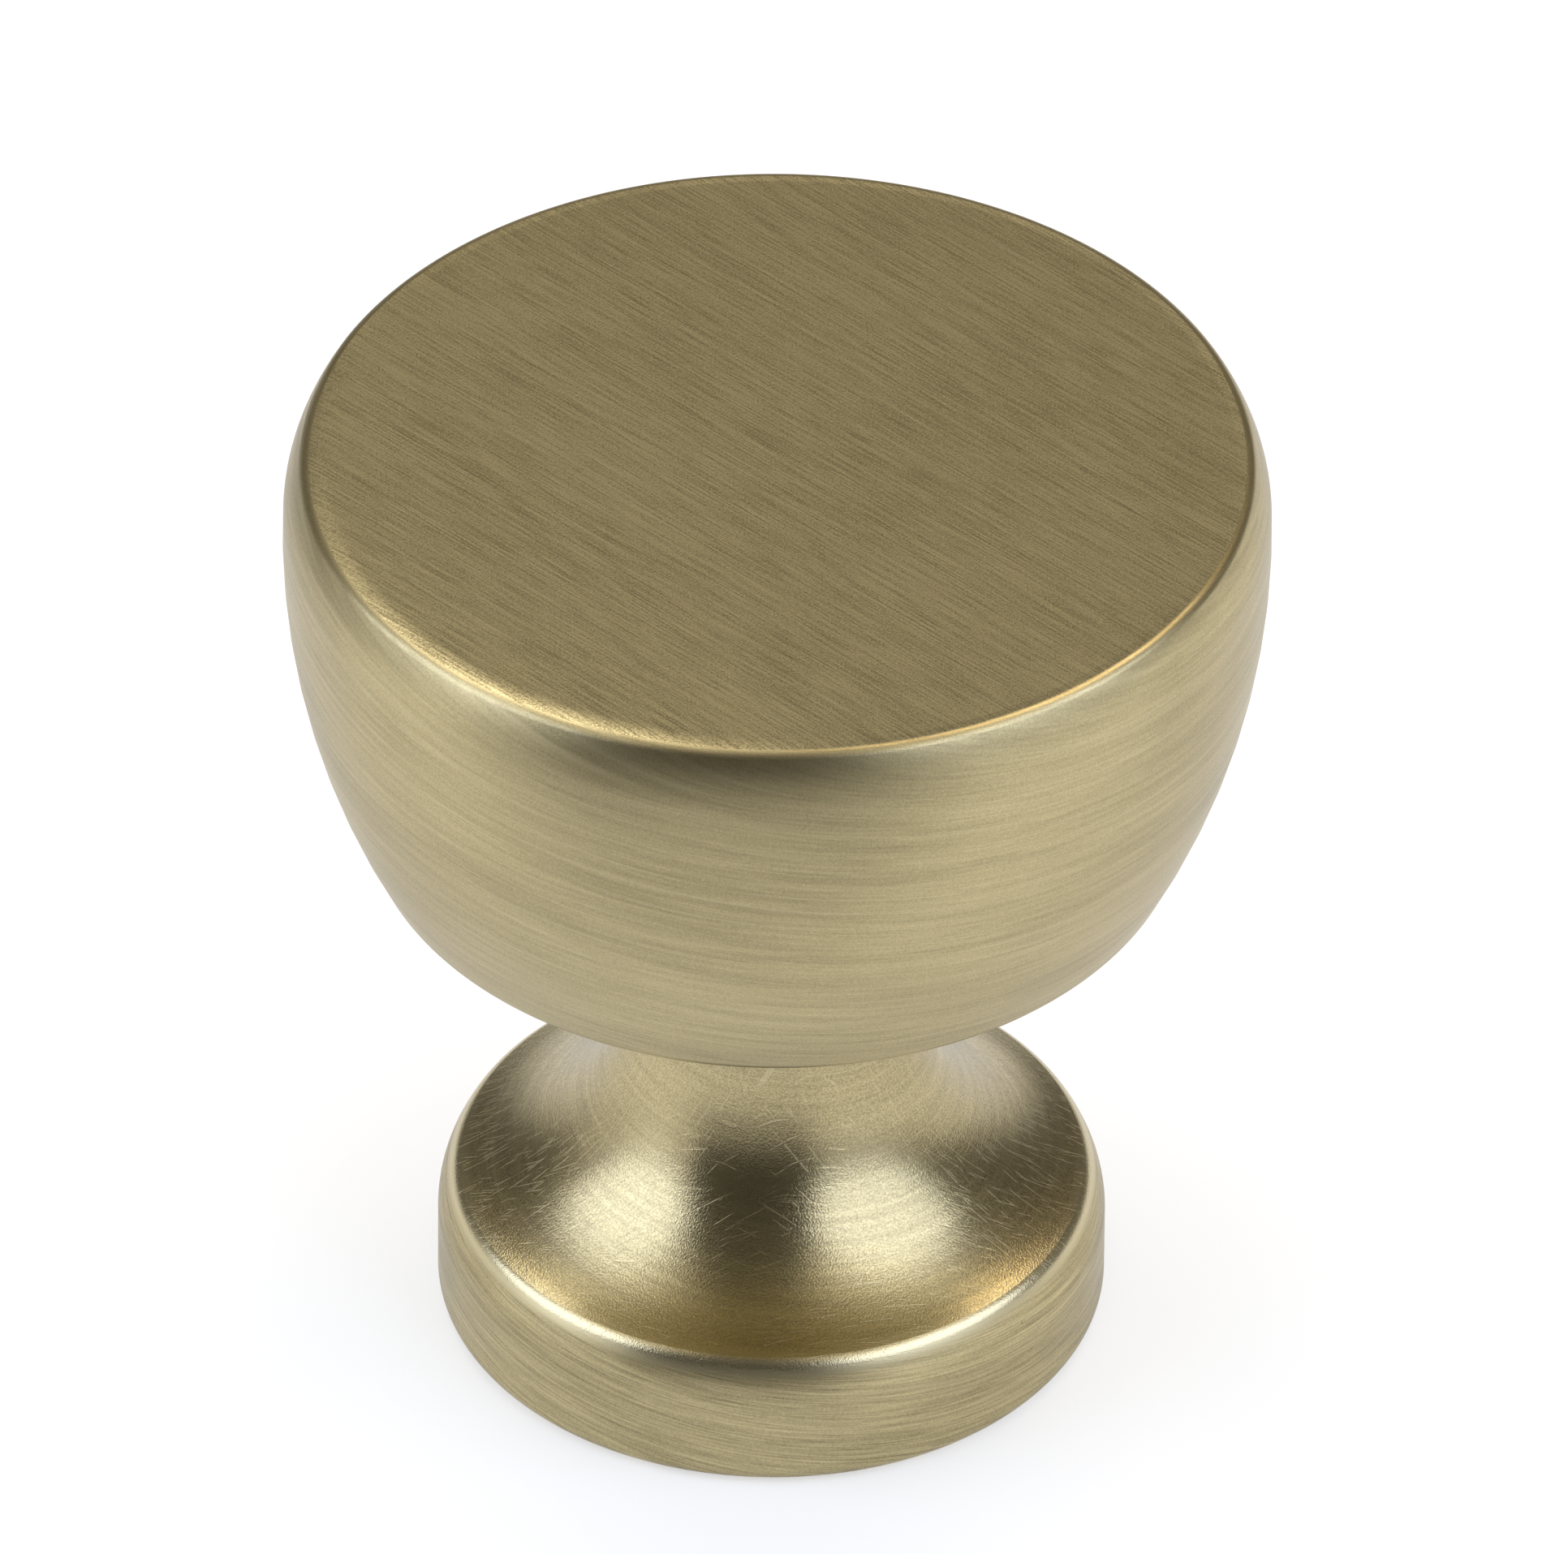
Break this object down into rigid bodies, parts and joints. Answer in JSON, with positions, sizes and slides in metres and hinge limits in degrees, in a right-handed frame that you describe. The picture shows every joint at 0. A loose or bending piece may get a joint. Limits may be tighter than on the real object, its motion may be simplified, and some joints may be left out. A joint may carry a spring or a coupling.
{
  "type": "cabinet knob",
  "caption": "Round one-piece cabinet knob: a flat-topped bowl-shaped head on a short neck that flares into a round foot, with a tapped screw hole underneath.",
  "frame": {"origin": "centre of the foot's flat underside, on the door's face", "axes": "+Z along the knob's axis, away from the door and out through the flat top; the knob is the same all round, so +X and +Y are free"},
  "size_m": [0.03, 0.03, 0.0318],
  "materials": {
    "brushed_brass": "satin, brushed straight across the flat top and around everything else"
  },
  "bodies": {
    "root": {"knob": "brushed_brass"}
  },
  "joints": []
}
